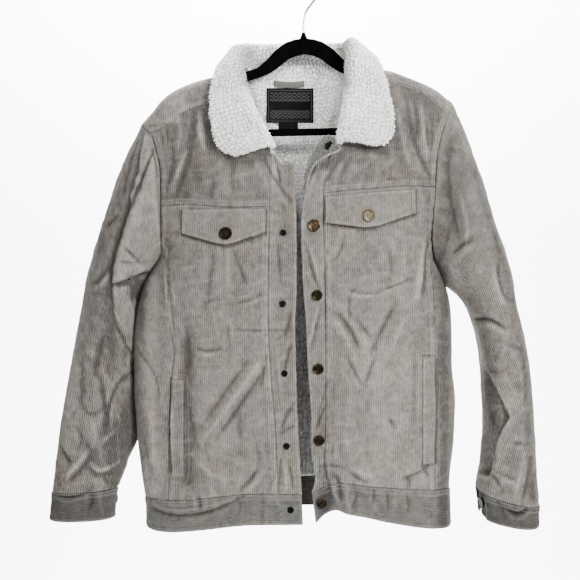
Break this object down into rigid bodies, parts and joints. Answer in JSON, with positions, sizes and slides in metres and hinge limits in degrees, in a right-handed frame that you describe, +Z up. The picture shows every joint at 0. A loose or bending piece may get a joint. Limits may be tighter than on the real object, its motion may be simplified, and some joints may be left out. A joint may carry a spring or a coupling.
{
  "type": "sherpa lined jacket on hanger",
  "caption": "Waist-length corduroy jacket with a pile lining and collar, chest flap pockets and an open snap front, hanging on a slim hanger with a wire hook.",
  "frame": {"origin": "top of the inside of the hanger's hook, where a rail carries it", "axes": "+Z up; the jacket's front faces -Y; +X is towards the side with the snap caps, which is the wearer's left"},
  "size_m": [0.768, 0.1698, 0.8687],
  "materials": {
    "corduroy": "fine-wale corduroy, light grey-taupe, soft nap",
    "corduroy_band": "fine-wale corduroy turned across, light grey-taupe",
    "sherpa_pile": "off-white curled pile",
    "grey_tape": "folded grey tape",
    "black_woven": "black woven label",
    "antique_bronze": "dark antique bronze",
    "blackened_metal": "blackened",
    "black_flock": "black flock over plastic",
    "hook_metal": "dark polished wire"
  },
  "bodies": {
    "root": {"back_yoke": "corduroy", "back_panel": "corduroy", "front_yoke_left": "corduroy", "front_yoke_right": "corduroy", "front_panel_left": "corduroy", "front_panel_right": "corduroy", "side_panel_left": "corduroy", "side_panel_right": "corduroy", "placket_left": "corduroy", "placket_right": "corduroy", "sleeve_top_left": "corduroy", "sleeve_top_right": "corduroy", "sleeve_under_left": "corduroy", "sleeve_under_right": "corduroy", "flap_left": "corduroy", "flap_right": "corduroy", "welt_left": "corduroy", "welt_right": "corduroy", "collar_under": "corduroy", "cuff_left": "corduroy_band", "cuff_right": "corduroy_band", "cuff_tab_left": "corduroy_band", "cuff_tab_right": "corduroy_band", "hem_band_left": "corduroy_band", "hem_band_right": "corduroy_band", "hem_band_back": "corduroy_band", "collar_top": "sherpa_pile", "lining_back": "sherpa_pile", "lining_left": "sherpa_pile", "lining_right": "sherpa_pile", "turned_corner_right": "sherpa_pile", "hanging_loop": "grey_tape", "neck_label": "black_woven", "size_tab": "black_woven", "snap_cap_1": "antique_bronze", "snap_cap_2": "antique_bronze", "snap_cap_3": "antique_bronze", "snap_cap_4": "antique_bronze", "snap_cap_5": "antique_bronze", "flap_snap_left": "antique_bronze", "flap_snap_right": "antique_bronze", "cuff_snap_left": "antique_bronze", "cuff_snap_right": "antique_bronze", "snap_socket_1": "blackened_metal", "snap_socket_2": "blackened_metal", "snap_socket_3": "blackened_metal", "snap_socket_4": "blackened_metal", "snap_socket_5": "blackened_metal", "snap_socket_top": "blackened_metal", "hanger_frame": "black_flock", "hanger_neck": "black_flock", "hook": "hook_metal"}
  },
  "joints": []
}
